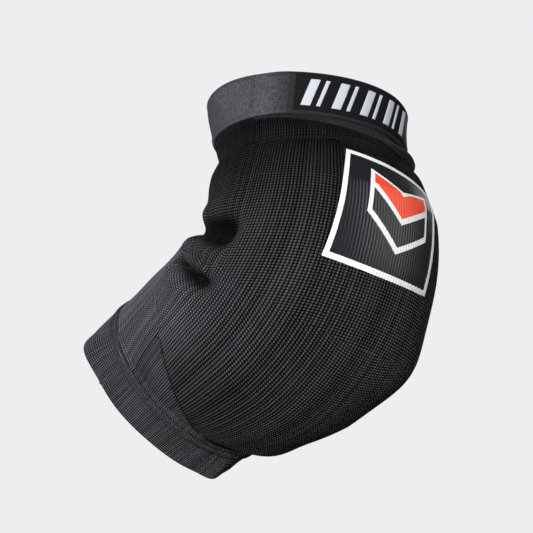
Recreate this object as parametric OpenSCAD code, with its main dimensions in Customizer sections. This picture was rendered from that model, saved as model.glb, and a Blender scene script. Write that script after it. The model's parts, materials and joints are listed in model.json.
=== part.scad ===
// Padded elbow sleeve for martial arts, worn with the elbow half bent.
// Frame: the origin is the centre of the upper cuff's rim, +Z points up along the upper arm and out of the
// cuff, +X points to the side of the elbow tip, and the elbow bends about a line parallel to Y.
// A place on the sleeve is given by s, the distance from the rim down the arm's centreline, and by an angle
// round the arm, 0 at the elbow tip's side and negative on the -Y side.

/* [Sleeve] */
// Length round the upper arm, from the rim to where the bend starts
upper_len = 63.5; // [58:0.5:70]
// Radius of the arm's centreline through the bend
bend_r = 58; // [56:0.5:64]
// Angle between the two arm directions, 0 being straight
bend = 58.5; // [40:0.5:65]
// Length round the forearm, from the end of the bend to the hem's edge
fore_len = 77; // [70:0.5:84]
// How far the upper arm sits towards the elbow tip's side of the cuff
lean = 4.5; // [0:0.5:6]
// Outside radius of the knit above the bend
upper_r = 51.5; // [50:0.5:53]
// Outside radius of the knit at the middle of the bend
elbow_r = 58; // [54:0.5:60]
// Outside radius of the knit above the hem
fore_r = 53; // [51:0.5:55]
// Thickness of one layer of knit
knit = 1.5; // [1.2:0.1:1.8]

/* [Pad] */
// How far the pad lifts the outer knit at its middle
pad_lift = 24; // [16:1:26]
// Half the pad's length along the centreline
pad_half = 74; // [68:1:76]
// Angle round the arm at which the pad's lift starts to fade
pad_angle = 92; // [80:1:96]

/* [Cuffs] */
// Inside radius of the upper cuff
cuff_r = 51.8; // [50:0.1:52]
// Height of the upper cuff
cuff_len = 30; // [28:1:32]
// Inside radius of the forearm hem
hem_r = 51.6; // [50:0.1:52]
// Height of the forearm hem
hem_len = 21; // [18:1:24]

/* [Strap] */
// Width of the elastic strap
strap_w = 25; // [20:1:25]
// Thickness of the elastic strap
strap_t = 1.2; // [0.8:0.1:1.3]
// Angle at which the strap leaves the cuff
strap_root = -76; // [-90:1:-70]
// Angle at which the hook-and-loop tab starts
tab_root = -56; // [-66:1:-50]
// Angle of the tab's free end
tab_end = 42; // [30:1:50]

/* [Print] */
// Distance down the centreline to the printed panel's upper edge
print_top = 48.5; // [46:0.5:52]
// Length of the printed panel along the centreline
print_len = 35.5; // [30:0.5:38]
// Half the angle that the printed panel covers
print_angle = 31.5; // [24:0.5:34]

/* [Hidden] */

$fn = 96;
gap = 0.3;                                  // air between layers of different bodies
bend_len = bend_r * bend * PI / 180;
sleeve_len = upper_len + bend_len + fore_len;
mid_s = sleeve_len / 2;
hem_s = sleeve_len - hem_len;
cuff_t = 1.8;                               // doubled, pressed knit of the cuff
cuff_out = cuff_r + cuff_t;
tape_t = 0.6;                               // loop and hook tape
hem_out = hem_r + 2.4;                      // hem: the knit folded back on itself
strap_in = cuff_out + tape_t + gap;         // the free strap lies over the loop tape
strap_out = strap_in + strap_t;
label_t = 0.5;
tip_share = 0.25;                           // share of the lift that is the elbow's tip and not the pad
lift_edge = 1.35;                           // the lift is full up to 0.35 of the pad's angle
pad_fade = 2.6;                             // how late the lift falls towards the pad's ends
pad_round = 0.75;                           // how roundly it meets the sleeve there
thread_d = 0.4;
seam_w = 2.4;                               // width of a cover-stitched seam, in s
seam_t = 0.7;                               // and its height
near_edge = -100;                           // angle of the pocket's seam on the -Y side
far_edge = 100;                             // and on the +Y side
print_t = 0.3;                              // thickness of each printed film
storeys = [0.95, 1.65, 2.35];                // heights of the films' lower faces over the pocket's knit
print_end = print_top + print_len;
chevron_drop = 9;                           // how far the chevron's point falls below its ends
border_s = 2.2;                             // width of the printed border along the arm
border_a = 2.6;                             // and round it, in degrees
band_end = 62;                              // angle at which the sewn strap ends on the far side

function smooth(t) = let (c = min(max(t, 0), 1)) c * c * (3 - 2 * c);

// Value at s of a curve that eases from one height to the next between the stations
function eased(s, at, height, i = 0) =
    i >= len(at) - 1 ? height[len(height) - 1]
    : s < at[i + 1] ? height[i] + (height[i + 1] - height[i]) * smooth((s - at[i]) / (at[i + 1] - at[i]))
    : eased(s, at, height, i + 1);

// Angle that the arm's direction has turned by at s
function turned(s) = min(max((s - upper_len) / bend_r, 0), bend * PI / 180) * 180 / PI;

// Centreline at s, as x and z
function centre(s) =
    let (a = turned(s), over = max(s - upper_len - bend_len, 0))
    [lean * smooth(s / cuff_len) - bend_r + bend_r * cos(a) - over * sin(a),
     -min(s, upper_len) - bend_r * sin(a) - over * cos(a)];

// Point at s, at an angle round the arm and at a radius from the centreline
function spot(s, angle, r) =
    let (c = centre(s), a = turned(s))
    [c[0] + r * cos(angle) * cos(a), r * sin(angle), c[1] - r * cos(angle) * sin(a)];

// Outside radius of the plain sleeve at s
function tube_r(s) =
    eased(s, [cuff_len, 45, mid_s, hem_s - 16, hem_s], [cuff_out - gap, upper_r, elbow_r, fore_r, fore_r]);

// How far the pad lifts the pocket's knit off the plain sleeve
function lift(s, angle) =
    pad_lift * pow(max(1 - pow(abs(s - mid_s) / pad_half, pad_fade), 0), pad_round)
    * smooth(lift_edge - abs(angle) / pad_angle);

// Outside radius of the pocket's knit
function skin_r(s, angle) = tube_r(s) + lift(s, angle);

// Outside radius of the layer under the pad, which the elbow's own tip pushes out
function under_r(s, angle) = tube_r(s) + tip_share * lift(s, angle);

// Curved slab between two surfaces round the arm. top and bottom give its edges in s at each angle, low and
// high its angles, and inner and outer the radii of its faces. It closes on itself when it goes all round.
module slab(top, bottom, low, high, inner, outer, rows, columns) {
    ring = high - low == 360;
    width = ring ? columns : columns + 1;
    angles = [for (j = [0 : width - 1]) low + (high - low) * j / columns];
    face = [for (i = [0 : rows], j = [0 : width - 1])
        let (a = angles[j]) [top(a) + (bottom(a) - top(a)) * i / rows, a]];
    outside = [for (p = face) spot(p[0], p[1], outer(p[0], p[1]))];
    inside = [for (p = face) spot(p[0], p[1], inner(p[0], p[1]))];
    n = len(face);
    function at(i, j) = i * width + j % width;
    cells = [for (i = [0 : rows - 1], j = [0 : columns - 1])
        [at(i, j), at(i, j + 1), at(i + 1, j + 1), at(i + 1, j)]];
    sides = concat(
        [for (j = [0 : columns - 1]) [at(0, j + 1), at(0, j)]],
        [for (j = [0 : columns - 1]) [at(rows, j), at(rows, j + 1)]],
        ring ? [] : [for (i = [0 : rows - 1]) [at(i, 0), at(i + 1, 0)]],
        ring ? [] : [for (i = [0 : rows - 1]) [at(i + 1, columns), at(i, columns)]]);
    polyhedron(concat(outside, inside), concat(
        [for (c = cells) [c[0], c[1], c[2]]],
        [for (c = cells) [c[0], c[2], c[3]]],
        [for (c = cells) [c[0] + n, c[2] + n, c[1] + n]],
        [for (c = cells) [c[0] + n, c[3] + n, c[2] + n]],
        [for (e = sides) [e[0], e[1], e[1] + n]],
        [for (e = sides) [e[0], e[1] + n, e[0] + n]]));
}

// One layer of knit with straight edges in s, lying just under the pocket and the pad
module layer(s0, s1, low, high, rows, columns) {
    slab(function(a) s0, function(a) s1, low, high,
         function(s, a) under_r(s, a) - knit - gap, function(s, a) under_r(s, a) - gap, rows, columns);
}

// Slab with faces at set heights over the pocket's knit
module on_skin(top, bottom, low, high, height0, height1, rows, columns) {
    slab(top, bottom, low, high,
         function(s, a) skin_r(s, a) + height0, function(s, a) skin_r(s, a) + height1, rows, columns);
}

// Band round the upper arm between two radii, two heights and two angles
module band(r0, r1, z0, z1, low, high) {
    rotate([0, 0, low])
        rotate_extrude(angle = high - low)
            translate([r0, z0])
                square([r1 - r0, z1 - z0]);
}

// Thread lying round the upper arm, on a layer whose outside radius is r
module thread(r, z, low, high) {
    rotate([0, 0, low])
        rotate_extrude(angle = high - low)
            translate([r + thread_d / 2 + 0.02, z])
                circle(d = thread_d, $fn = 16);
}

// Puts a ring that is drawn down from the origin at s on the arm
module along_arm(s) {
    c = centre(s);
    translate([c[0], 0, c[1]])
        rotate([0, turned(s), 0])
            children();
}

module upper_cuff() {
    color("#1d1e22")
        difference() {
            translate([0, 0, -cuff_len]) cylinder(h = cuff_len, r = cuff_out);
            translate([0, 0, -cuff_len - 1]) cylinder(h = cuff_len + 2, r = cuff_r);
        }
}

module upper_sleeve_knit() {
    color("#202124") layer(cuff_len + gap, upper_len - gap / 2, -180, 180, 6, 44);
}

module strap_band() {
    color("#4b4c52") band(cuff_out, cuff_out + strap_t, -strap_w, 0, band_end, 360 + strap_root - 0.5);
}

// Two rows that hold the strap to the cuff along its edges
module strap_band_stitching() {
    color("#2b2c30")
        for (z = [-2, 2 - strap_w])
            thread(cuff_out + strap_t, z, band_end + 2, 358 + strap_root);
}

module loop_tape() {
    color("#141518") band(cuff_out, cuff_out + tape_t, -cuff_len + 0.5, -5, strap_root, band_end - 1);
}

// One row along the lower edge, where the strap leaves the tape bare
module loop_tape_stitching() {
    color("#2b2c30") thread(cuff_out + tape_t, -cuff_len + 2, strap_root + 2, band_end - 4);
}

// Upright bar of close stitches beside the place where the free strap starts
module strap_anchor_stitching() {
    color("#17181b")
        band(cuff_out + strap_t, cuff_out + strap_t + 0.5, 3 - strap_w, -3,
             356 + strap_root, 358 + strap_root);
}

module strap_front() {
    color("#4b4c52") band(strap_in, strap_out, -strap_w, 0, strap_root, tab_root - 0.4);
}

module tab_base() {
    color("#1a1b1e") band(strap_in + tape_t, strap_out + tape_t, -strap_w, 0, tab_root, tab_end);
}

module hook_tape() {
    color("#101114") band(strap_in, strap_in + tape_t, 2 - strap_w, -2, tab_root + 6, tab_end - 2);
}

module woven_label() {
    color("#121316")
        band(strap_out + tape_t, strap_out + tape_t + label_t, 0.8 - strap_w, -0.8, tab_root + 2, tab_end - 3);
}

// Row of plain slanted bars, broad and narrow by turns, woven into the label
module label_motif() {
    out = strap_out + tape_t + label_t;
    mark_h = strap_w * 0.56;
    color("#c9cccf")
        intersection() {
            band(out, out + 0.3, -strap_w / 2 - mark_h / 2, mark_h / 2 - strap_w / 2, tab_root + 5, tab_end - 12);
            for (i = [0 : 7])
                rotate([0, 0, tab_root + 11 + i * 9.2])
                    translate([out - 1, 0, -strap_w / 2])
                        rotate([18, 0, 0])
                            translate([0, i % 2 == 0 ? -3 : -1.2, -strap_w])
                                cube([4, i % 2 == 0 ? 6 : 2.4, 2 * strap_w]);
        }
}

module label_stitching() {
    out = strap_out + tape_t + label_t;
    color("#303136")
        for (z = [-2, 2 - strap_w])
            thread(out, z, tab_root + 4, tab_end - 4);
}

module elbow_lining() {
    color("#202124") layer(upper_len + gap / 2, sleeve_len - fore_len, near_edge, far_edge - 0.3, 10, 24);
}

module crook_knit() {
    color("#1a1b1e") layer(upper_len + gap / 2, sleeve_len - fore_len, far_edge, 359.7 + near_edge, 10, 20);
}

// Moulded foam cup between the lining and the pocket's knit
module foam_pad() {
    reach = 0.92 * pad_half;
    color("#3a3b3f")
        slab(function(a) mid_s - reach, function(a) mid_s + reach, -76, 76,
             function(s, a) under_r(s, a) + 0.2,
             function(s, a) skin_r(s, a) - knit - 0.25, 20, 24);
}

module pocket_knit() {
    color("#1f2023")
        slab(function(a) cuff_len + gap, function(a) hem_s - gap, near_edge + 1, far_edge - 1,
             function(s, a) skin_r(s, a) - (lift(s, a) > 2 * knit ? knit : 0.2) + 0.3,
             function(s, a) skin_r(s, a) + 0.6, 32, 36);
}

module side_seam(angle) {
    color("#2a2b2f")
        slab(function(a) upper_len + 2, function(a) sleeve_len - fore_len - 2, angle - 0.8, angle + 0.8,
             function(s, a) under_r(s, a) + 0.1, function(s, a) under_r(s, a) + seam_t, 10, 1);
}

module side_seam_near() { side_seam(near_edge - 1.4); }

module side_seam_far() { side_seam(far_edge + 1.4); }

// Cover-stitched seam across the pocket, riding on its knit
module pocket_seam(s0) {
    color("#2a2b2f")
        on_skin(function(a) s0, function(a) s0 + seam_w, near_edge + 4, far_edge - 4, 0.85, 0.85 + seam_t, 1, 36);
}

module pocket_seam_upper() { pocket_seam(cuff_len + 3); }

module pocket_seam_lower() { pocket_seam(hem_s - 0.2 - seam_w); }

// Straight-edged film of the print, lying on the pocket in one of three layers
module film(s0, s1, low, high, storey, rows, columns) {
    on_skin(function(a) s0, function(a) s1, low, high,
            storeys[storey], storeys[storey] + print_t, rows, columns);
}

module print_panel() {
    color("#17181c") film(print_top, print_end, -print_angle, print_angle, 0, 12, 14);
}

// Border of four strips, the upright ones between the other two
module print_border() {
    edge = print_angle - border_a;
    color("white") {
        film(print_top, print_top + border_s, -print_angle, print_angle, 1, 1, 14);
        film(print_end - border_s, print_end, -print_angle, print_angle, 1, 1, 14);
        film(print_top + border_s + 0.1, print_end - border_s - 0.1, -print_angle, -edge, 1, 10, 1);
        film(print_top + border_s + 0.1, print_end - border_s - 0.1, edge, print_angle, 1, 10, 1);
    }
}

// Chevron that points down the arm, as wide as twice reach and as deep at each place as width
module chevron(s0, width, reach, storey) {
    on_skin(function(a) s0 + chevron_drop * (1 - abs(a) / reach),
            function(a) s0 + width + chevron_drop * (1 - abs(a) / reach),
            -reach, reach, storeys[storey], storeys[storey] + print_t, 4, 16);
}

module print_chevron() {
    color("#ff4b2d") chevron(print_top + 10, 7, 20, 2);
}

module print_chevron_outline() {
    color("white") chevron(print_top + 8.5, 10, 22, 1);
}

module forearm_knit() {
    color("#37383c")
        layer(sleeve_len - fore_len + gap, hem_s - gap / 2, -180, 180, 8, 44);
}

module forearm_hem() {
    color("#3a3b3f")
        along_arm(sleeve_len)
            difference() {
                cylinder(h = hem_len, r = hem_out);
                translate([0, 0, -1]) cylinder(h = hem_len + 2, r = hem_r);
            }
}

module hem_seam() {
    color("#2a2b2f")
        along_arm(hem_s)
            translate([0, 0, -seam_w - 0.6])
                difference() {
                    cylinder(h = seam_w, r = hem_out + seam_t);
                    translate([0, 0, -1]) cylinder(h = seam_w + 2, r = hem_out);
                }
}

// Short bar where the hem's two ends lap, on the crook's side
module hem_lap_stitching() {
    color("#2a2b2f")
        along_arm(sleeve_len)
            band(hem_out, hem_out + 0.5, 1.5, hem_len - 5, 178.5, 181.5);
}

upper_cuff();
upper_sleeve_knit();
strap_band();
strap_band_stitching();
loop_tape();
loop_tape_stitching();
strap_anchor_stitching();
strap_front();
tab_base();
hook_tape();
woven_label();
label_motif();
label_stitching();
elbow_lining();
crook_knit();
foam_pad();
pocket_knit();
side_seam_near();
side_seam_far();
pocket_seam_upper();
pocket_seam_lower();
print_panel();
print_border();
print_chevron();
print_chevron_outline();
forearm_knit();
forearm_hem();
hem_seam();
hem_lap_stitching();
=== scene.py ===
import json
import math

import bpy
import numpy as np
from mathutils import Matrix, Vector


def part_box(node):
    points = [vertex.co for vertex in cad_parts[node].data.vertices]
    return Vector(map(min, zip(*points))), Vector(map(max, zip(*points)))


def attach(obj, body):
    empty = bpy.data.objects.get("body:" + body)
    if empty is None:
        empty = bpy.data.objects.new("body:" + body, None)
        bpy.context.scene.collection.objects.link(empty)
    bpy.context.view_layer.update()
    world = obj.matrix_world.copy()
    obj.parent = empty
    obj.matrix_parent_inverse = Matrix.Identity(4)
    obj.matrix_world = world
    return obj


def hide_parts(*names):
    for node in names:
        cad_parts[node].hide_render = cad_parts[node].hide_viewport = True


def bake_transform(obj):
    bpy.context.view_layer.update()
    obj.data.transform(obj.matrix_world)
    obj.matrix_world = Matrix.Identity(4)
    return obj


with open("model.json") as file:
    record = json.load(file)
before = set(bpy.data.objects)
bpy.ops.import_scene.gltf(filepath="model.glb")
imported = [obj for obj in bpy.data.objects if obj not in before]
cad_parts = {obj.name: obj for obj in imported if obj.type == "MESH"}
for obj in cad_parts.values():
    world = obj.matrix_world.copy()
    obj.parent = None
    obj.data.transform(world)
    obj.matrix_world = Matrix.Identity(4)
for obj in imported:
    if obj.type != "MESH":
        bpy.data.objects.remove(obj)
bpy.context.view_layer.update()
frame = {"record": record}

# Elbow pad: a knitted sleeve bent as if an arm were in it, with a foam pad in a pocket over the elbow, a strap
# round the cuff and a hem at the forearm.
#
# The work is in millimetres and in the frame of the CAD. A place on the sleeve is s, the distance from the cuff's
# rim down the arm's centreline, and an angle in degrees, 0 at the elbow tip and negative towards -Y.
MM = 0.001
MOUNTS = {m["name"]: m for m in frame["record"]["mounts"]}
CUFF_LOW, CUFF_HIGH = (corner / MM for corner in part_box("upper_cuff"))
CUFF_LEN = CUFF_HIGH.z - CUFF_LOW.z
CUFF_R = CUFF_HIGH.y                         # outside radius of the cuff

# Arm: straight to UPPER_LEN, round a bend of radius BEND_R to FORE_S, straight to the hem
UPPER_LEN = 63.5
BEND_R = 58.0
FORE_AXIS = Vector(MOUNTS["forearm"]["axis"])
BEND = math.atan2(-FORE_AXIS.x, -FORE_AXIS.z)
FORE_S = UPPER_LEN + BEND_R * BEND
SLEEVE_LEN = FORE_S + 77.0
MID_S = SLEEVE_LEN / 2
HEM_S = SLEEVE_LEN - 18.2                    # the hem's seam
LEAN = 4.5                                   # the arm sits this far towards the elbow tip from the cuff's axis

# Pad and panels: angles of the pocket's side edges and of the fine gusset's below it
POCKET_EDGE = 100
GUSSET_EDGE = 73
SEAM_ANGLE = POCKET_EDGE + 1.4               # the side seams
PAD_LIFT = 24.0
PAD_HALF = 74.0                              # half the pad's length

# Knits: ribs round the arm, and length of one course along it
COARSE = (252, 1.6)
FINE = (288, 1.3)

# Strap, wound round the cuff: heights of its edges, and angles where its free part, its tab and its sewn part start
STRAP_TOP, STRAP_FOOT = 1.4, -22.8
STRAP_MID_Z = -12.5
STRAP_ROOT, TAB_ROOT, TAB_END = -76.0, -56.0, 42.0
SEWN_FROM, SEWN_TO = 62.0, 360 + STRAP_ROOT
STRAP_R = 55.0                               # round figure for lengths along it


# ---------------------------------------------------------------- shape of the sleeve

def smooth(t):
    t = np.clip(t, 0, 1)
    return t * t * (3 - 2 * t)


def rising(x, low, high):
    """0 up to low, 1 from high on, eased between."""
    return smooth((x - low) / (high - low))


def falling(x, low, high):
    return 1 - rising(x, low, high)


def bump(x, at, width):
    """Bell of height 1 at a place."""
    return np.exp(-(((x - at) / width) ** 2))


def eased(s, stations, heights):
    """Curve that eases from one height to the next between stations."""
    out = np.full(np.shape(s), float(heights[0]))
    for a, b, p, q in zip(stations, stations[1:], heights, heights[1:]):
        out = out + (q - p) * rising(s, a, b)
    return out


def lean(s):
    """How far the centreline is off the cuff's axis, towards the elbow tip."""
    return LEAN * rising(s, 23, 36)


def centre(s):
    """Centreline at s: x, z, and the angle turned by there."""
    turn = np.clip((s - UPPER_LEN) / BEND_R, 0, BEND)
    over = np.maximum(s - FORE_S, 0)
    x = lean(s) - BEND_R + BEND_R * np.cos(turn) - over * np.sin(turn)
    z = -np.minimum(s, UPPER_LEN) - BEND_R * np.sin(turn) - over * np.cos(turn)
    return x, z, turn


def spot(s, angle, r):
    """Point at a distance r from the centreline."""
    x, z, turn = centre(s)
    a = np.radians(angle)
    return np.stack([x + r * np.cos(a) * np.cos(turn), r * np.sin(a), z - r * np.cos(a) * np.sin(turn)], -1)


def wrapped(angle):
    """The same angle from -180 to 180."""
    return (angle + 180) % 360 - 180


def folds(s, angle):
    """Creases and rolls that the bend pushes into the crook, as changes of radius."""
    a = np.abs(angle)
    depth = np.where(angle > 0, 0.8, 1.0)    # the far side's are shallower
    edge = rising(a, 97, 115)                # beyond the flank, where the creases run out
    inside = falling(a, 97, 115)
    hollow = -17.5 * bump(s, 88 + 0.12 * (a - 80), 6.4 + 5 * edge) * rising(a, 64, 81) * (1 - 0.6 * edge)

    cleft = 108 + 0.27 * (a - 68) - 0.9 * np.maximum(a - 103, 0)      # where the lower crease runs
    lower = -10.5 * bump(s, cleft, 3.3 + 1.6 * rising(a, 92, 106))
    lower = lower * rising(a, 62, 76) * (1 - 0.3 * rising(a, 108, 130))
    lip = 3.0 * bump(s, cleft + 8.5, 5.5) * rising(a, 66, 90) * inside

    thin = -1.6 * bump(s, 101.5 + 0.02 * (a - 82) ** 2, 1.6) * rising(a, 64, 72) * inside
    rolls = 2.4 * bump(s, 97, 3.6) + 1.2 * bump(s, 105 + 0.16 * (a - 80), 3.0)
    rolls = rolls * rising(a, 64, 82) * inside

    valley = 9.5 * bump(s, 96, 11) + 6.0 * bump(s, 79, 7) + 2.4 * bump(s, 58, 6) + 2.5 * bump(s, 114, 7)
    valley = -valley * rising(a, 114, 150) - edge * (1.5 * bump(s, 100, 8) + 1.8 * bump(s, 128, 10))

    ripple = 0.8 * np.sin(s / 4.1 + 0.04 * angle) * rising(a, 95, 145) * bump(s, 62, 22)
    ripple = ripple + 0.6 * np.sin(s / 6.1 - 0.05 * angle) * rising(a, 70, 120) * bump(s, 140, 22)
    return depth * (hollow + lower + lip + thin + rolls + valley) + ripple


def pull(s, angle):
    """How the strap's lower edge is drawn in at the back of the arm."""
    return -5.5 * smooth(s / 26) * falling(s, 32, 47) * rising(np.abs(angle), 55, 115)


def tube_r(s, angle):
    """Outside radius of the sleeve without its pad."""
    angle = wrapped(angle)
    tip_side = falling(angle, 50, 90)
    plain = eased(s, [CUFF_LEN, 45, MID_S, HEM_S - 16, HEM_S], [CUFF_R - 0.4, 51.5, 58, 53, 53.4])
    corners = 6.2 * bump(angle, -104, 14) + 3.2 * bump(angle, 14, 9) + 4.0 * bump(angle, 130, 30)
    hem = rising(s, 176, 198) * (corners - 3.2 * bump(angle, -34, 28))
    swell = (1.0 + 5.0 * rising(angle, -10, 25)) * bump(s, 26.5, 3.2) * falling(np.abs(angle), 35, 95)
    elbow = 5.0 * bump(s, 103, 10) * rising(angle, 5, 35) * tip_side
    pad_foot = 4.5 * bump(s, 168, 14) * rising(angle, 0, 30) * tip_side
    return plain + hem + folds(s, angle) + pull(s, angle) + swell + elbow + pad_foot


def lift(s, angle):
    """How far the pad lifts the pocket's knit off the sleeve."""
    angle = wrapped(angle)
    along = np.clip(1 - (np.abs(s - MID_S) / PAD_HALF) ** 2.6, 0, 1) ** 0.75
    far = rising(angle, -10, 25)
    crease = 1 - 0.3 * (1 - far) * bump(s, 39.5, 3) - 0.78 * far * bump(s, 33.5, 4)
    return PAD_LIFT * along * crease * falling(np.abs(angle), 32.2, 124.2)


def skin_r(s, angle):
    """Outside radius of the sleeve with its pad."""
    return tube_r(s, angle) + lift(s, angle)


def under_r(s, angle):
    """Radius of the pad's inner face."""
    return tube_r(s, angle) + 0.25 * lift(s, angle)


def lining_r(s, angle):
    """Outside radius of the lining, kept under the lowest knit near by so that no crease reaches it."""
    lowest = np.minimum.reduce([skin_r(s + apart, angle) for apart in (-4, -2, 0, 2, 4)])
    return np.minimum(under_r(s, angle) - 0.6, lowest - 2.1)


def painted_light_and_shade(s, angle):
    """Painted light and shade on the knit: 0 over the pad, up to 1, painted light, over the back of the forearm where
    the light falls on it, and below 0, painted shade, at the neck below the strap and deep in the folds."""
    angle = wrapped(angle)
    # painted shade: darker deep in the folds
    painted_fold_shade = smooth(-folds(s, angle) / 8.0)
    # painted light: lighter over the back of the forearm, where the light falls
    painted_forearm_light = rising(s, 88, 134) * rising(np.abs(angle), 45, 83)
    # adds the painted forearm light, and takes off painted shade at the neck below the strap and in the folds
    return 0.66 * painted_forearm_light * (1 - painted_fold_shade) - 0.34 * falling(s, 38, 98) - 0.36 * painted_fold_shade


def pocket_top(angle):
    return 37.5 + 5.0 * rising(np.abs(angle), 25, 85)


def pocket_bottom(angle):
    return 176.0 - 36.0 * rising(np.abs(wrapped(angle)), 4, 88)


# ---------------------------------------------------------------- mesh building

def new_object(name, verts, faces, uv, material, sharp=50):
    """Mesh from points in millimetres and groups of faces. uv is one row per corner, in the faces' order, and a
    third number in the row goes to a map of its own, for the knit's painted light and shade."""
    mesh = bpy.data.meshes.new(name)
    flat = np.concatenate([np.asarray(f, np.int32).ravel() for f in faces])
    totals = np.concatenate([np.full(len(f), f.shape[1], np.int32) for f in faces])
    mesh.vertices.add(len(verts))
    mesh.vertices.foreach_set("co", (np.asarray(verts, float) * MM).ravel())
    mesh.loops.add(len(flat))
    mesh.loops.foreach_set("vertex_index", flat)
    mesh.polygons.add(len(totals))
    mesh.polygons.foreach_set("loop_start", np.concatenate([[0], np.cumsum(totals)[:-1]]).astype(np.int32))
    mesh.polygons.foreach_set("loop_total", totals)
    mesh.polygons.foreach_set("use_smooth", np.ones(len(totals), bool))
    uv = np.asarray(uv, np.float32)
    mesh.uv_layers.new(name="UVMap").data.foreach_set("uv", uv[:, :2].ravel())
    if uv.shape[1] > 2:
        mesh.uv_layers.new(name="PaintedLightAndShade").data.foreach_set("uv", np.repeat(uv[:, 2], 2))
    mesh.update(calc_edges=True)
    mesh.validate()
    mesh.set_sharp_from_angle(angle=math.radians(sharp))
    mesh.materials.append(material)
    obj = bpy.data.objects.new(name, mesh)
    bpy.context.scene.collection.objects.link(obj)
    return obj


class Solid:
    """Collects closed slabs and makes one object of them."""

    def __init__(self):
        self.verts, self.faces, self.uvs, self.count = [], [], [], 0

    def slab(self, outer, inner, uv, ring=False):
        """Closed slab between two grids of points. inner has the outer's columns and a whole fraction of its
        rows, and uv belongs to the outer. A ring closes on itself, its last column being its first again."""
        rows, columns = outer.shape[:2]
        few = inner.shape[0]
        step = (rows - 1) // (few - 1)
        n = rows * columns
        i, j = np.meshgrid(np.arange(rows - 1), np.arange(columns - 1), indexing="ij")
        a = (i * columns + j).ravel()
        quads = [np.stack([a, a + columns, a + columns + 1, a + 1], 1)]
        i, j = np.meshgrid(np.arange(few - 1), np.arange(columns - 1), indexing="ij")
        b = (n + i * columns + j).ravel()
        quads.append(np.stack([b, b + 1, b + columns + 1, b + columns], 1))
        j = np.arange(columns - 1)
        last, last_in = (rows - 1) * columns, n + (few - 1) * columns
        quads.append(np.stack([j, j + 1, n + j + 1, n + j], 1))
        quads.append(np.stack([last + j + 1, last + j, last_in + j, last_in + j + 1], 1))
        groups = [np.concatenate(quads)]
        if not ring:
            i = np.arange(few - 1)
            along = np.arange(step + 1)
            left = (i[:, None] * step + along[::-1]) * columns
            right = (i[:, None] * step + along) * columns + columns - 1
            inside = n + i * columns
            groups.append(np.concatenate([left, inside[:, None], (inside + columns)[:, None]], 1))
            inside = inside + columns - 1
            groups.append(np.concatenate([right, (inside + columns)[:, None], inside[:, None]], 1))
        parts = uv.shape[-1]
        corner_uv = np.concatenate([uv.reshape(-1, parts), uv[::step].reshape(-1, parts)])
        home = np.arange(n + few * columns)
        if ring:
            home[home % columns == columns - 1] -= columns - 1
        points = np.concatenate([outer.reshape(-1, 3), inner.reshape(-1, 3)])
        used, home = np.unique(home, return_inverse=True)
        for faces in groups:
            self.uvs.append(corner_uv[faces.ravel()])
            self.faces.append(home[faces] + self.count)
        self.verts.append(points[used])
        self.count += len(used)

    def make(self, name, material, sharp=50):
        return new_object(name, np.concatenate(self.verts), self.faces, np.concatenate(self.uvs), material, sharp)


def normals(points):
    """Outward normals of a grid whose rows run down the arm and whose columns run towards +Y."""
    n = np.cross(np.gradient(points, axis=0), np.gradient(points, axis=1))
    return n / np.maximum(np.linalg.norm(n, axis=-1, keepdims=True), 1e-9)


def at(value, angle):
    """A value that is either a number or a function of the angle."""
    return value(angle) if callable(value) else value + 0 * angle


def off(radius, by):
    """The same surface, further out."""
    return lambda *place: radius(*place) + by


def crown(t):
    """Rounded top from t -1 to 1."""
    return np.sqrt(np.clip(1 - t * t, 0, 1))


def ribs(u, height):
    """Round ribs with sharp grooves between them, at whole values of u."""
    return height * np.sqrt(np.clip(np.abs(np.sin(np.pi * u)), 0, 1))


def run_length(points):
    """Length along each column of a grid from its first row."""
    step = np.linalg.norm(np.diff(points, axis=0), axis=-1)
    return np.concatenate([np.zeros((1, points.shape[1])), np.cumsum(step, 0)])


def knit_slab(solid, top, bottom, low, high, rows, step, radius=skin_r, knit=COARSE, per_rib=4, height=0.36,
              thick=1.3, flare=None):
    """Slab of ribbed knit over part of the sleeve, with its edges in s at top and bottom and its sides at the
    angles low and high. Its inner face has that many rows, and its outer face step times as many."""
    rib_count, course = knit
    first, last = round(low / 360 * rib_count), round(high / 360 * rib_count)
    u = np.linspace(first, last, (last - first) * per_rib + 1)[None, :]
    angle = u / rib_count * 360
    t = np.linspace(0, 1, rows * step + 1)[:, None]
    s = at(top, angle) + (at(bottom, angle) - at(top, angle)) * t
    u, angle = np.broadcast_to(u, s.shape), np.broadcast_to(angle, s.shape)
    plain = spot(s, angle, radius(s, angle))
    n = normals(plain)
    rise = ribs(u, height)
    if flare is not None:
        rise = rise + flare(t)
    v = run_length(plain) / course
    middle = v[len(v) // 2]
    # the third part is the knit's painted light and shade
    uv = np.stack([u, v - middle[None, :] + middle.mean(), painted_light_and_shade(s, angle)], -1)
    solid.slab(plain + n * rise[..., None], (plain - n * thick)[::step], uv, ring=(last - first) == rib_count)


# ---------------------------------------------------------------- materials

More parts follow.
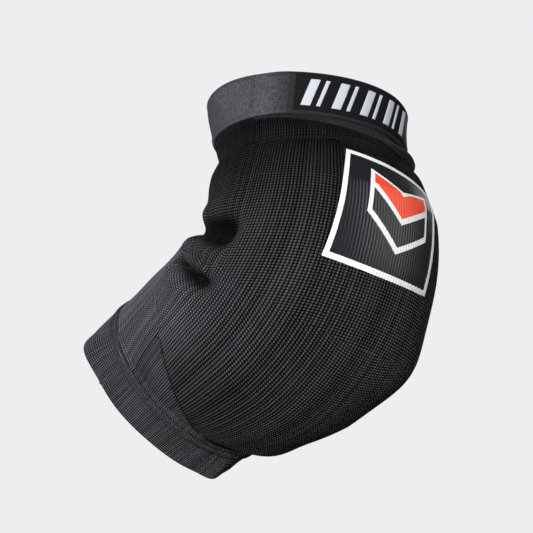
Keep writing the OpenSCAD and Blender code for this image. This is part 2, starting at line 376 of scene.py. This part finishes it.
class Shader:
    """Material built on one Principled shader."""

    def __init__(self, name, rough, specular, sheen=0.0, sheen_rough=0.4):
        self.mat = bpy.data.materials.new(name)
        self.mat.use_nodes = True
        self.tree = self.mat.node_tree
        self.out = self.tree.nodes["Principled BSDF"]
        for key, value in (("Roughness", rough), ("Specular IOR Level", specular), ("Sheen Weight", sheen),
                           ("Sheen Roughness", sheen_rough)):
            self.out.inputs[key].default_value = value

    def node(self, kind, inputs=(), **settings):
        made = self.tree.nodes.new("ShaderNode" + kind)
        for key, value in settings.items():
            setattr(made, key, value)
        for key, value in dict(inputs).items():
            if isinstance(value, bpy.types.NodeSocket):
                self.tree.links.new(value, made.inputs[key])
            else:
                made.inputs[key].default_value = value
        return made

    def math(self, operation, a, b=0.0):
        return self.node("Math", {0: a, 1: b}, operation=operation).outputs[0]

    def add(self, a, b):
        return self.math("ADD", a, b)

    def times(self, a, b):
        return self.math("MULTIPLY", a, b)

    def map_uv(self):
        """The two parts of the UV map."""
        self.uv = self.node("UVMap", uv_map="UVMap").outputs[0]
        parts = self.node("SeparateXYZ", {0: self.uv})
        return parts.outputs[0], parts.outputs[1]

    def wave(self, x, power=1.0):
        """0 at whole values of x, 1 halfway between."""
        value = self.math("ABSOLUTE", self.math("SINE", self.times(x, math.pi)))
        return self.math("POWER", value, power) if power != 1.0 else value

    def noise(self, scale, detail=2.0, stretch=(1, 1)):
        vector = self.node("Mapping", {"Vector": self.uv, "Scale": (*stretch, 1)}).outputs[0]
        return self.node("TexNoise", {"Vector": vector, "Scale": scale, "Detail": detail}).outputs["Fac"]

    def ramp(self, value, stops):
        made = self.node("ValToRGB", {"Fac": value})
        ends = made.color_ramp.elements
        while len(ends) < len(stops):
            ends.new(0.5)
        for end, (place, colour) in zip(ends, stops):
            end.position = place
            end.color = (*colour, 1)
        return made.outputs[0]

    def finish(self, colour, height, depth, strength, rough=None):
        """Joins colour, bump height and roughness to the shader; depth is in millimetres."""
        self.tree.links.new(colour, self.out.inputs["Base Color"])
        if rough is not None:
            self.tree.links.new(rough, self.out.inputs["Roughness"])
        made = self.node("Bump", {"Height": height, "Distance": depth * MM, "Strength": strength})
        self.tree.links.new(made.outputs[0], self.out.inputs["Normal"])
        return self.mat


COOL, PLAIN, INK = (0.97, 1.0, 1.1), (1, 1, 1), (0.85, 1.0, 1.25)         # tints


def grey(level, tint=COOL):
    """Linear colour of a grey given as a screen level from 0 to 255."""
    linear = ((level / 255 + 0.055) / 1.055) ** 2.4 if level > 10 else level / 255 / 12.92
    return tuple(linear * part for part in tint)


def knit_material(name, dark, light, courses=0.8, depth=0.6, stretch=2.0):
    """Ribbed knit: u counts the ribs and v the courses, whose loops lean out from the middle of each rib. courses
    is how strongly they show, and stretch how strongly the painted light and shade of the second UV map scale its
    colour."""
    rough = 0.8
    m = Shader(name, rough, 0.02, 0.0, 0.45)
    u, v = m.map_uv()
    rib = m.wave(u, 0.7)
    lean_out = m.math("ABSOLUTE", m.math("SUBTRACT", m.math("FRACT", u), 0.5))
    loop = m.wave(m.add(v, m.times(lean_out, 0.5)), 0.9)
    wale = m.node("TexWhiteNoise", {"W": m.math("FLOOR", u)}, noise_dimensions="1D").outputs["Value"]
    fuzz = m.noise(5.0, 3.0)
    patchy = m.noise(0.05, 2.0)
    height = m.times(rib, m.add(1 - courses, m.times(loop, courses)))
    mottle = m.add(m.times(fuzz, 0.3), m.add(m.times(patchy, 0.16), m.times(wale, 0.16)))
    # The colour darkens in the grooves between the ribs and between the loops: painted shade in the knit's hollows.
    colour = m.ramp(m.add(m.times(height, 0.78), mottle),
                    [(0.36, grey(dark)), (0.72, grey(dark * 0.6 + light * 0.4)), (1.0, grey(light))])
    # Painted light and shade: the colour is scaled by 1 + stretch times the second UV map's value
    if stretch:
        place = m.node("SeparateXYZ", {0: m.node("UVMap", uv_map="PaintedLightAndShade").outputs[0]}).outputs[0]
        painted_light_scale = m.math("MAXIMUM", m.add(1.0, m.times(place, stretch)), 0.15)
        colour = m.node("VectorMath", {0: colour, "Scale": painted_light_scale}, operation="SCALE").outputs[0]
    return m.finish(colour, m.add(height, m.times(fuzz, 0.35)), depth, 0.9,
                    m.add(rough - 0.08, m.times(fuzz, 0.16)))


def tape_material(name, dark, light, cord, across=0.0, rough=0.7, sheen=0.0, depth=0.12, fleck=0.3,
                  specular=0.05, grain=(1.0, 2.0), contrast=2.6, darkened=None):
    """Woven tape in millimetres: cords of that pitch along it, and weft lines of a pitch across it. fleck is how
    much of its colour is random, and darkened a stretch along it over which it turns dark, as painted shade."""
    m = Shader(name, rough, specular, sheen, 0.35)
    u, v = m.map_uv()
    height = m.wave(m.times(v, 1 / cord), 0.8)
    if across:
        height = m.add(m.times(height, 0.6), m.times(m.wave(m.times(u, 1 / across), 0.8), 0.4))
    fuzz = m.add(m.times(m.add(m.noise(0.9, 4.0, grain), -0.5), contrast), 0.5)
    patchy = m.noise(0.07, 2.0)
    level = m.add(m.times(height, 1 - fleck), m.times(m.add(m.times(fuzz, 0.6), m.times(patchy, 0.6)), fleck))
    # painted shade: the tape darkens to half over that stretch
    if darkened:
        kept = m.node("MapRange", {"Value": u, "From Min": darkened[0], "From Max": darkened[1], "To Min": 1.0,
                                   "To Max": 0.5}, interpolation_type="SMOOTHSTEP")
        level = m.times(level, kept.outputs[0])
    colour = m.ramp(level, [(0.1, grey(dark)), (0.95, grey(light))])
    return m.finish(colour, m.add(height, m.times(fuzz, 0.5)), depth, 0.7,
                    m.add(rough - 0.06, m.times(fuzz, 0.12)))


def pile_material(name, dark, light, scale=1.6):
    """Short pile of loop or hook tape, or open foam."""
    m = Shader(name, 0.9, 0.15, 0.05, 0.6)
    m.map_uv()
    loops = m.node("TexVoronoi", {"Vector": m.uv, "Scale": scale}, feature="F1").outputs["Distance"]
    level = m.add(m.times(loops, 0.8), m.times(m.noise(0.3, 3.0), 0.4))
    return m.finish(m.ramp(level, [(0.1, grey(light)), (0.9, grey(dark))]), loops, 0.5, 0.9)


def film_material(name, colour, darkened, rough):
    """Rubbery print laid over the ribs, a little darker between them."""
    m = Shader(name, rough, 0.4)
    u, v = m.map_uv()
    rib = m.wave(u)
    speck = m.noise(2.2, 4.0, (1.0, 0.5))
    level = m.add(m.times(rib, 0.45), m.times(speck, 0.6))
    shade = m.ramp(level, [(0.15, darkened), (0.6, colour)])
    return m.finish(shade, m.add(rib, m.times(speck, 0.3)), 0.12, 0.5, m.add(rough - 0.08, m.times(speck, 0.2)))


pocket_mat = knit_material("pocket_knit", 2, 80)
rib_mat = knit_material("rib_knit", 2, 78, courses=0.7)
crook_mat = knit_material("crook_knit", 2, 82)
back_mat = knit_material("back_knit", 2, 82)
forearm_mat = knit_material("forearm_knit", 4, 106, depth=0.45, stretch=0.0)
# the satin's darkening towards the tab is painted shade
satin_mat = tape_material("satin_elastic", 12, 90, 1.2, 1.0, rough=0.55, sheen=0.02, fleck=0.6, specular=0.12,
                          grain=(1.3, 0.5), contrast=4.2, darkened=(-68, -52))
webbing_mat = tape_material("tab_webbing", 8, 46, 1.3, 1.1, sheen=0.03, depth=0.2, specular=0.15)
label_mat = tape_material("label_black", 2, 32, 0.4, 0.5, depth=0.08, specular=0.04)
mark_mat = tape_material("label_grey", 168, 214, 0.4, 0.5, rough=0.6, specular=0.2)
loop_mat = pile_material("loop_tape", 8, 44)
hook_mat = pile_material("hook_tape", 10, 48, 1.1)
thread_mat = tape_material("thread", 30, 116, 0.3, rough=0.6, depth=0.05, specular=0.15)
seam_mat = tape_material("seam_thread", 3, 30, 0.5, rough=0.8, depth=0.05)
ridge_mat = knit_material("seam_knit", 4, 112, courses=0.9, stretch=0.0)
foam_mat = pile_material("foam", 40, 70, 3.0)
black_mat = film_material("print_black", grey(30, INK), grey(17, INK), 0.34)
white_mat = film_material("print_white", grey(246, PLAIN), grey(226, PLAIN), 0.45)
red_mat = film_material("print_red", (0.93, 0.078, 0.026), (0.8, 0.055, 0.02), 0.4)


# ---------------------------------------------------------------- panels of knit

def follow_upper(obj):
    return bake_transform(obj)


def follow_lower(obj):
    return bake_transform(obj)


def settle(obj, body=None, nodes=()):
    """Puts a piece on the body it rides on, if it has one, and hides the CAD parts it replaces."""
    if body:
        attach(obj, body)
    if nodes:
        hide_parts(*nodes)


def knit_piece(name, material, slot, parts, follow=None, body=None, nodes=(), **look):
    """Piece made of slabs of knit, each given as its top, bottom, first and last angle, rows and step."""
    solid = Solid()
    for part in parts:
        knit_slab(solid, *part, **look)
    piece = solid.make(name, material)
    settle(follow(piece) if follow else piece, body, nodes)


def rounded_end(t, share):
    """1 at t 0, falling steeply to 0 over that share of the length."""
    return 1 - crown(np.clip(1 - t / share, 0, 1))


FRONT = (-POCKET_EDGE, POCKET_EDGE)
BACK = (POCKET_EDGE, 360 - POCKET_EDGE)

# Cuff of doubled knit, whose rim is a fold
knit_piece("cuff_knit", rib_mat, "rib_knit", [(-1.0, CUFF_LEN, -180, 180, 6, 6)], body="upper_sleeve",
           nodes=["upper_cuff"], height=0.35, thick=1.5, flare=lambda t: -1.0 * rounded_end(t, 0.05))

# Sleeve between the cuff, the pocket and the crook
knit_piece("sleeve_upper", rib_mat, "rib_knit",
           [(CUFF_LEN, pocket_top, *FRONT, 4, 5), (CUFF_LEN, UPPER_LEN, *BACK, 5, 6)],
           follow_upper, nodes=["upper_sleeve_knit"])

# Crook and pocket, each cut in two at the middle of the elbow
knit_piece("crook_upper", crook_mat, "crook_knit", [(UPPER_LEN, MID_S, *BACK, 7, 8)], follow_upper,
           nodes=["crook_knit"], height=0.4)
knit_piece("crook_lower", crook_mat, "crook_knit", [(MID_S, FORE_S, *BACK, 4, 8)], follow_lower, height=0.4)
knit_piece("pocket_upper", pocket_mat, "pocket_knit", [(pocket_top, MID_S, *FRONT, 14, 8)], follow_upper,
           nodes=["pocket_knit"])
knit_piece("pocket_lower", pocket_mat, "pocket_knit", [(MID_S, pocket_bottom, *FRONT, 16, 8)], follow_lower)

# Forearm: fine gusset below the pad, and coarse knit round the rest
knit_piece("forearm_gusset", forearm_mat, "forearm_knit",
           [(pocket_bottom, HEM_S, -GUSSET_EDGE, GUSSET_EDGE, 7, 7)], follow_lower,
           nodes=["forearm_knit"], knit=FINE, height=0.26)
knit_piece("forearm_knit", back_mat, "forearm_knit",
           [(pocket_bottom, HEM_S, GUSSET_EDGE, POCKET_EDGE, 7, 7), (FORE_S, HEM_S, *BACK, 7, 7),
            (pocket_bottom, HEM_S, 360 - POCKET_EDGE, 360 - GUSSET_EDGE, 7, 7)], follow_lower, height=0.34)

# Hem, folded under at its end
knit_piece("forearm_hem", forearm_mat, "forearm_knit", [(HEM_S, SLEEVE_LEN, -180, 180, 4, 6)],
           body="forearm", nodes=["forearm_hem"], radius=off(skin_r, 0.5), knit=FINE, height=0.28, thick=2.2,
           flare=lambda t: -1.6 * rounded_end(1 - t, 0.09))

# Lining under the pad, and the pad itself
LINING_EDGE, PAD_EDGE = 124, 90
for name, top, bottom, follow in (("upper", 30.5, MID_S, follow_upper), ("lower", MID_S, HEM_S - 1, follow_lower)):
    is_first = name == "upper"
    knit_piece("lining_" + name, crook_mat, "crook_knit", [(top, bottom, -LINING_EDGE, LINING_EDGE, 8, 4)], follow,
               nodes=["elbow_lining"] if is_first else [], radius=lining_r, per_rib=3, height=0.3, thick=0.9)

    start, end = top + 4, min(bottom, MID_S + 68)
    s, angle = np.broadcast_arrays(np.linspace(start, end, 33)[:, None],
                                   np.linspace(-PAD_EDGE, PAD_EDGE, 97)[None, :])
    inner = under_r(s, angle) + 0.1
    outer = np.maximum(skin_r(s, angle) - 1.8, inner + 0.4)
    foam = Solid()
    foam.slab(spot(s, angle, outer), spot(s, angle, inner), np.stack([s, angle], -1))
    foam = foam.make("foam_pad_" + name, foam_mat)
    settle(follow(foam), nodes=["foam_pad"] if is_first else [])


# ---------------------------------------------------------------- strap, tab and label

def wrap(angle, r, z):
    """Points round the cuff's own axis."""
    a = np.radians(angle)
    return np.stack(np.broadcast_arrays(r * np.cos(a), r * np.sin(a), z), -1)


def drawn(angle, z):
    """Inner radius of what lies on the cuff, allowing for how its back is drawn in."""
    return CUFF_R + pull(-z, wrapped(angle))


def band_in(angle, z):
    """Sewn part of the strap."""
    return drawn(angle, z) + 0.25


def free_in(angle, z):
    """Free part of the strap, which rises onto the loop tape beyond its root."""
    return band_in(angle, z) + 1.3 * rising(angle, STRAP_ROOT, STRAP_ROOT + 18)


def tape_in(angle, z):
    """Loop tape, lying on the cuff and the knit that swells out below it."""
    s = np.maximum(-z, 0)
    swollen = skin_r(s, angle) + lean(s) * np.cos(np.radians(angle))
    return np.maximum(drawn(angle, z) + 0.1, swollen + 0.5)


def tab_in(angle, z):
    """Tab, lying on the loop tape, its free corner lifted a little."""
    lifted = 1.6 * rising(angle, 18, 42) * rising(-z, 4, 24)
    return np.maximum(drawn(angle, z) + 1.55, tape_in(angle, z) + 0.85) + lifted


def tape_foot(angle):
    return -24.5 - 8.0 * rising(angle, -70, 30)


def raised(z):
    """Height z on the tab, which is pulled up towards its free end."""
    return lambda angle: z + 2.6 * rising(angle, -52, 38)


def tape(name, material, low, high, foot, top, radius, thick, per_degree=1.2, bead=0.25):
    """Tape wound round the cuff from angle low to high, thin along its edges. radius(angle, z) is its inner face."""
    rows = 24
    angle = np.linspace(low, high, int((high - low) * per_degree) + 1)[None, :]
    t = np.linspace(0, 1, rows + 1)[:, None]
    z = at(top, angle) + (at(foot, angle) - at(top, angle)) * t
    angle = np.broadcast_to(angle, z.shape)
    edge = np.minimum(t, 1 - t) * rows
    full = thick * (1 - 0.55 * np.clip(1 - edge / 1.5, 0, 1) ** 2) + bead * bump(edge, 1.8, 1.0)
    inner = radius(angle, z)
    run = STRAP_R * np.radians(angle - 360 * (angle >= SEWN_FROM))   # goes on from the sewn part to the free end
    solid = Solid()
    solid.slab(wrap(angle, inner + full, z), wrap(angle, inner, z), np.stack([run, z], -1))
    return solid.make(name, material)


strap = tape("strap_sewn", satin_mat, SEWN_FROM, SEWN_TO - 0.5, STRAP_FOOT, STRAP_TOP, band_in, 1.2)
settle(strap, "upper_sleeve", ["strap_band"])
strap = tape("strap_free", satin_mat, STRAP_ROOT - 0.5, TAB_ROOT + 3, STRAP_FOOT, STRAP_TOP, free_in, 1.2,
             per_degree=2.5)
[wrap(angle, CUFF_R, STRAP_MID_Z) * MM for angle in (STRAP_ROOT, STRAP_ROOT + 6)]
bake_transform(strap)
settle(strap, nodes=["strap_front"])
loops = tape("loop_tape", loop_mat, STRAP_ROOT - 0.2, SEWN_FROM - 0.5, tape_foot, -2.0, tape_in, 0.7)
settle(loops, "upper_sleeve", ["loop_tape"])
tab = tape("tab_base", webbing_mat, TAB_ROOT, TAB_END, raised(STRAP_FOOT), raised(STRAP_TOP), tab_in, 1.3)
settle(tab, "tab", ["tab_base"])
hooks = tape("hook_tape", hook_mat, TAB_ROOT + 6, TAB_END - 2, raised(STRAP_FOOT + 2), raised(STRAP_TOP - 2),
             off(tab_in, -0.55), 0.5, bead=0.0)
settle(hooks, "tab", ["hook_tape"])
label = tape("woven_label", label_mat, TAB_ROOT + 3.5, TAB_END - 0.8, raised(STRAP_FOOT + 1.5),
             raised(STRAP_TOP - 1.2), off(tab_in, 1.3), 0.5)
settle(label, "tab", ["woven_label"])

# Generic mark: a row of plain slanted bars, broad and narrow by turns; widths and pitch are in degrees
BARS, BAR_PITCH, BROAD, NARROW, SLANT = 9, 8.4, 5.2, 2.2, -4.5
BAR_TOP, BAR_FOOT = ((STRAP_TOP + STRAP_FOOT) / 2 + half for half in (7.6, -7.6))
mark = Solid()
for k in range(BARS):
    t = np.linspace(0, 1, 13)[:, None]
    across = np.linspace(0, 1, 7)[None, :]
    width = NARROW if k % 2 else BROAD
    angle = TAB_ROOT + 9.5 + k * BAR_PITCH + across * width + (t - 0.5) * SLANT
    z = raised(BAR_TOP + (BAR_FOOT - BAR_TOP) * t)(angle)
    r = tab_in(angle, z) + 1.8
    rise = 0.05 + 0.32 * np.minimum(1, 6 * np.minimum(across, 1 - across) + 0.2)
    mark.slab(wrap(angle, r + rise, z), wrap(angle, r - 0.1, z), np.stack([STRAP_R * np.radians(angle), z], -1))
settle(mark.make("label_motif", mark_mat), "tab", ["label_motif"])


# ---------------------------------------------------------------- stitches

def stitches(name, material, places, size=0.28):
    """Row of stitches. Each place is two end points and the way out, and each stitch a thread that arches there."""
    verts, faces = [], []
    rings, sides = 5, 6
    for n, (a, b, out) in enumerate(places):
        ahead = (b - a) / np.linalg.norm(b - a)
        side = np.cross(ahead, out)
        base = n * rings * sides
        for i in range(rings):
            t = i / (rings - 1)
            middle = a + (b - a) * t + out * size * (1.6 * math.sin(math.pi * t) - 0.7)
            r = size * (0.35 + 0.65 * math.sin(math.pi * (0.12 + 0.76 * t)))
            for k in range(sides):
                turn = 2 * math.pi * k / sides
                verts.append(middle + r * (side * math.cos(turn) + out * math.sin(turn)))
        for i in range(rings - 1):
            for k in range(sides):
                p, q = base + i * sides + k, base + i * sides + (k + 1) % sides
                faces.append((p, q, q + sides, p + sides))
        first, last = (list(range(end, end + sides)) for end in (base, base + (rings - 1) * sides))
        for cap in (first[::-1], last):
            faces += [(cap[0], cap[1], cap[2], cap[3]), (cap[0], cap[3], cap[4], cap[5])]
    faces, verts = np.array(faces), np.array(verts)
    return new_object(name, verts, [faces], verts[:, [2, 1]][faces.ravel()], material)


def steps(low, high, r, pitch, share):
    """First and last angle of each stitch in a row round a radius; share is how much of the pitch it takes."""
    count = int(math.radians(high - low) * r / pitch)
    starts = (low + (high - low) * k / count for k in range(count))
    return [(a, a + (high - low) / count * share) for a in starts]


def rows_round(low, high, radius, heights):
    """Stitches running round the cuff at each of some heights."""
    places = []
    for height in heights:
        for a, b in steps(low, high, STRAP_R, 2.6, 0.62):
            z = at(height, a)
            r = radius(a, z)
            places.append((wrap(a, r, z), wrap(b, r, z), wrap((a + b) / 2, 1.0, 0.0)))
    return places


def row_on_sleeve(line, low, high, pitch, share):
    """Stitches along a line on the sleeve, which gives s at each angle."""
    radius = off(skin_r, 0.4)
    places = []
    for a, b in steps(low, high, 60, pitch, share):
        ends = [spot(at(line, angle), angle, radius(at(line, angle), angle)) for angle in (a, b)]
        middle = (a + b) / 2
        s = at(line, middle)
        r = radius(s, middle)
        places.append((*ends, spot(s, middle, r + 1.0) - spot(s, middle, r)))
    return places


INSET = 2.1                                  # the strap's stitch rows, from its edges
rows = rows_round(SEWN_FROM + 2, SEWN_TO - 3, off(band_in, 1.25), (STRAP_TOP - INSET, STRAP_FOOT + INSET))
settle(stitches("strap_stitching", seam_mat, rows), "upper_sleeve", ["strap_band_stitching"])
rows = rows_round(STRAP_ROOT + 7, TAB_ROOT - 1, off(free_in, 1.25), (STRAP_TOP - INSET, STRAP_FOOT + INSET))
settle(stitches("strap_free_stitching", seam_mat, rows), "free_strap")
rows = rows_round(TAB_ROOT + 5, TAB_END - 3, off(tab_in, 1.8), (raised(STRAP_TOP - 2.4), raised(STRAP_FOOT + 2.6)))
settle(stitches("label_stitching", seam_mat, rows, 0.22), "tab", ["label_stitching"])
rows = rows_round(STRAP_ROOT + 2, SEWN_FROM - 3, off(tape_in, 0.8), [off(tape_foot, 1.6)])
settle(stitches("loop_tape_stitching", seam_mat, rows, 0.25), "upper_sleeve", ["loop_tape_stitching"])

# Bar of short stitches where the free strap leaves the cuff
rows = []
for z in -1.5 - 19 * np.linspace(0, 1, 18):
    ends = [wrap(angle, band_in(angle, z) + 1.25, z + drop)
            for angle, drop in ((SEWN_TO - 3.2, -0.3), (SEWN_TO - 1.4, 0.3))]
    rows.append((*ends, wrap(SEWN_TO - 2.3, 1.0, 0.0)))
settle(stitches("strap_anchor_stitching", satin_mat, rows, 0.16), "upper_sleeve",
       ["strap_anchor_stitching"])


# ---------------------------------------------------------------- seams

def seam(name, line, low, high, width, height, base=0.35, material=seam_mat):
    """Rounded ridge along a line on the sleeve, tapered at its ends unless it goes all the way round."""
    angle = np.linspace(low, high, int((high - low) * 2) + 1)[None, :]
    t = np.linspace(-1, 1, 9)[:, None]
    s = at(line, angle) + t * width / 2
    angle = np.broadcast_to(angle, s.shape)
    closed = high - low > 300
    ends = np.ones(s.shape) if closed else smooth(np.minimum(angle - low, high - angle) / 6)
    arch = (height * crown(t) + base + 0.02) * ends - 0.1 * (1 - ends)
    foot = (base - 0.1) * ends - 0.3
    plain = spot(s, angle, skin_r(s, angle))
    n = normals(plain)
    solid = Solid()
    solid.slab(plain + n * arch[..., None], plain + n * foot[..., None], np.stack([angle * 1.2, s * 2], -1))
    return solid.make(name, material, 60)


def strip(middle, half, top, bottom, rows):
    """Grid for a ridge that runs down the sleeve: s, angle, and the rounding across it."""
    s = np.linspace(top, bottom, rows)[:, None]
    t = np.linspace(-1, 1, 9)[None, :]
    return np.broadcast_arrays(s, middle + t * half, crown(t))


piece = seam("pocket_seam_upper", pocket_top, -99, 99, 1.2, 0.2)
settle(follow_upper(piece), nodes=["pocket_seam_upper"])
piece = seam("pocket_seam_lower", pocket_bottom, -GUSSET_EDGE, GUSSET_EDGE, 1.1, 0.12)
settle(follow_lower(piece), nodes=["pocket_seam_lower"])
rows = row_on_sleeve(off(pocket_bottom, 1.6), 2 - GUSSET_EDGE, GUSSET_EDGE - 2, 2.2, 0.55)
settle(follow_lower(stitches("pocket_seam_stitching", seam_mat, rows, 0.22)))
piece = seam("hem_seam", HEM_S - 0.4, -180, 179.5, 2.4, 1.0, base=0.3, material=ridge_mat)
settle(follow_lower(piece), nodes=["hem_seam"])
piece = seam("hem_seam_upper", HEM_S - 3.2, -180, 179.5, 1.8, 0.7, base=0.3, material=ridge_mat)
settle(follow_lower(piece))
rows = row_on_sleeve(HEM_S - 1.9, -180, 179, 2.0, 0.6)
settle(follow_lower(stitches("hem_seam_stitching", thread_mat, rows, 0.22)))

for name, middle in (("side_seam_near", -SEAM_ANGLE), ("side_seam_far", SEAM_ANGLE)):
    for half, material, top, bottom, follow, nodes in (("", seam_mat, 46.0, MID_S, follow_upper, [name]),
                                                       ("_lower", ridge_mat, MID_S, 139.0, follow_lower, [])):
        s, angle, across = strip(middle, 0.8, top, bottom, 121)
        plain = spot(s, angle, skin_r(s, angle))
        n = normals(plain)
        solid = Solid()
        solid.slab(plain + n * (0.32 + 0.25 * across)[..., None], plain + n * 0.1, np.stack([angle * 2, s], -1))
        settle(follow(solid.make(name + half, material, 60)), nodes=nodes)

s, angle, across = strip(-81, 0.9, HEM_S + 0.6, SLEEVE_LEN - 0.8, 17)
r = skin_r(s, angle)
solid = Solid()
solid.slab(spot(s, angle, r + 0.85 + 0.45 * across), spot(s, angle, r + 0.3), np.stack([angle * 2, s], -1))
settle(solid.make("hem_side_seam", ridge_mat, 60), "forearm")

# Bar of stitches where the hem's ends lap, at the back
rows = []
for s in HEM_S + 2 + 1.1 * np.arange(14):
    ends = [spot(s + drop, angle, skin_r(s, angle) + 1.0) for angle, drop in ((178.8, -0.3), (181.2, 0.3))]
    rows.append((*ends, spot(s, 180.0, 60.0) - spot(s, 180.0, 59.0)))
settle(stitches("hem_lap_stitching", thread_mat, rows, 0.3), "forearm", ["hem_lap_stitching"])


# ---------------------------------------------------------------- print

PRINT = np.array([[(45.4, -28.5), (52.4, 25.5)], [(84.4, -33.0), (83.9, 20.5)]])       # its corners, as s and angle


def between(corners, p, q):
    """Place p of the way down and q of the way across a four-cornered patch."""
    (a, b), (c, d) = corners
    return (1 - p) * ((1 - q) * a + q * b) + p * ((1 - q) * c + q * d)


def film(solid, p_range, q_range, storey, cells, drops=(0, 0)):
    """Film over part of the print, given as shares of its height and width. storey is how many films it lies on,
    and drops how far its two sides are moved down."""
    corners = [[between(PRINT, p + drop, q) for q, drop in zip(q_range, drops)] for p in p_range]
    p = np.linspace(0, 1, cells[0] + 1)[:, None, None]
    q = np.linspace(0, 1, cells[1] + 1)[None, :, None]
    s, angle = np.moveaxis(between(corners, p, q), -1, 0)
    points = spot(s, angle, skin_r(s, angle))
    n = normals(points)
    rib_count, course = COARSE
    u = angle / 360 * rib_count
    rise = (0.45 + ribs(u, 0.13) + 0.14 * storey)[..., None]
    solid.slab(points + n * (rise + 0.12), points + n * (rise - 0.12), np.stack([u, s / course], -1))


panel = Solid()
film(panel, (0, 1), (0, 1), 0, (60, 200))
settle(follow_upper(panel.make("print_panel", black_mat)), nodes=["print_panel"])

border = Solid()
HEAD, FOOT, SIDE = 0.056, 0.037, 0.038       # widths of the border's strips
film(border, (0, HEAD), (0, 1), 1, (3, 200))
film(border, (1 - FOOT, 1), (0, 1), 1, (3, 200))
film(border, (HEAD, 1 - FOOT), (0, SIDE), 1, (54, 12))
film(border, (HEAD, 1 - FOOT), (1 - SIDE, 1), 1, (54, 12))
settle(follow_upper(border.make("print_border", white_mat)), nodes=["print_border"])

# Two chevrons, one above the other: a white-edged red one and a white-edged black one
outline, red, black = Solid(), Solid(), Solid()
CHEVRON_Q, REACH, DROP, EDGE = 0.53, 0.31, 0.19, 0.045
CHEVRON_TOP, CHEVRON_MID, CHEVRON_FOOT = 0.20, 0.40, 0.64
for side in (-1, 1):
    for solid, storey, p_range, reach in (
            (outline, 1, (CHEVRON_TOP, CHEVRON_FOOT), REACH),
            (red, 2, (CHEVRON_TOP + EDGE, CHEVRON_MID), REACH - 0.035),
            (black, 2, (CHEVRON_MID + EDGE, CHEVRON_FOOT - EDGE), REACH - 0.035)):
        arms = sorted([(CHEVRON_Q, DROP), (CHEVRON_Q + side * reach, DROP * (1 - reach / REACH))])
        q_range, drops = zip(*arms)
        film(solid, p_range, q_range, storey, (20, 70), drops)
settle(follow_upper(outline.make("print_chevron_outline", white_mat)),
       nodes=["print_chevron_outline"])
settle(follow_upper(red.make("print_chevron", red_mat)), nodes=["print_chevron"])
settle(follow_upper(black.make("print_chevron_lower", black_mat)))


# ---------------------------------------------------------------- studio

AZIMUTH, ELEVATION, ROLL = (math.radians(turn) for turn in (45.4, -18.6, 5.74))
DISTANCE = 1126.6
towards = Vector((math.sin(AZIMUTH) * math.cos(ELEVATION), -math.cos(AZIMUTH) * math.cos(ELEVATION),
                  math.sin(ELEVATION)))
level = Vector((math.cos(AZIMUTH), math.sin(AZIMUTH), 0))
above = towards.cross(level)
right = level * math.cos(ROLL) + above * math.sin(ROLL)
up = above * math.cos(ROLL) - level * math.sin(ROLL)
look = Vector((LEAN - 20, 0, -90)) - 2.16 * right + 2.8 * up
camera = bpy.data.objects.new("camera", bpy.data.cameras.new("camera"))
bpy.context.scene.collection.objects.link(camera)
camera.data.lens = 138.35
camera.data.sensor_width = 36
camera.data.clip_end = 20
camera.matrix_world = Matrix.Translation((look + towards * DISTANCE) * MM) @ Matrix(
    (right, up, towards)).transposed().to_4x4()
bpy.context.scene.camera = camera

# The floor and the backdrop show the same even pale grey, and light the object far less than they show
PALE = (0.847, 0.855, 0.871, 1)
FLOOR_Z, FLOOR_HALF = -0.62, 6.0             # in metres
floor_mesh = bpy.data.meshes.new("floor")
floor_mesh.from_pydata([(x * FLOOR_HALF, y * FLOOR_HALF, FLOOR_Z) for x, y in ((-1, -1), (1, -1), (1, 1), (-1, 1))],
                       [], [(0, 1, 2, 3)])
floor = bpy.data.objects.new("floor", floor_mesh)
bpy.context.scene.collection.objects.link(floor)
matt = Shader("studio_floor", 0.9, 0.1)
matt.out.inputs["Base Color"].default_value = (0.12, 0.12, 0.12, 1)
pale = matt.node("Emission", {"Color": PALE, "Strength": 1.0})
shown = matt.node("MixShader", {0: matt.node("LightPath").outputs["Is Camera Ray"], 1: matt.out.outputs[0],
                                2: pale.outputs[0]})
matt.tree.links.new(shown.outputs[0], matt.tree.nodes["Material Output"].inputs["Surface"])
floor_mesh.materials.append(matt.mat)

world = bpy.data.worlds.new("studio")
bpy.context.scene.world = world
world.use_nodes = True
backdrop = world.node_tree.nodes["Background"]
backdrop.inputs["Color"].default_value = PALE
seen = world.node_tree.nodes.new("ShaderNodeLightPath").outputs["Is Camera Ray"]
dimmed = world.node_tree.nodes.new("ShaderNodeMapRange")
dimmed.inputs["To Min"].default_value = 0.055
dimmed.inputs["To Max"].default_value = 1.0
world.node_tree.links.new(seen, dimmed.inputs["Value"])
world.node_tree.links.new(dimmed.outputs[0], backdrop.inputs["Strength"])
bpy.context.scene.view_settings.view_transform = "Standard"

MIDDLE = Vector((-0.02, 0, -0.09))


def softbox(name, place, size, power, gloss=1.0):
    """Light aimed at the object's middle from a place in metres along the camera's right, up and towards it."""
    data = bpy.data.lights.new(name, "AREA")
    data.shape = "RECTANGLE"
    data.size, data.size_y = size
    data.energy = power
    data.specular_factor = gloss
    obj = bpy.data.objects.new(name, data)
    bpy.context.scene.collection.objects.link(obj)
    obj.location = MIDDLE + right * place[0] + up * place[1] + towards * place[2]
    obj.rotation_euler = (MIDDLE - obj.location).to_track_quat("-Z", "Y").to_euler()


softbox("key", (-0.45, 0.25, 1.3), (0.6, 0.6), 27)
softbox("side", (-1.2, 0.3, -0.4), (0.7, 1.0), 3, 0.3)
softbox("rim", (1.3, 0.4, 0.3), (0.5, 1.0), 7, 0.3)
softbox("back", (0.3, 0.3, -1.4), (1.0, 1.0), 13, 0.2)
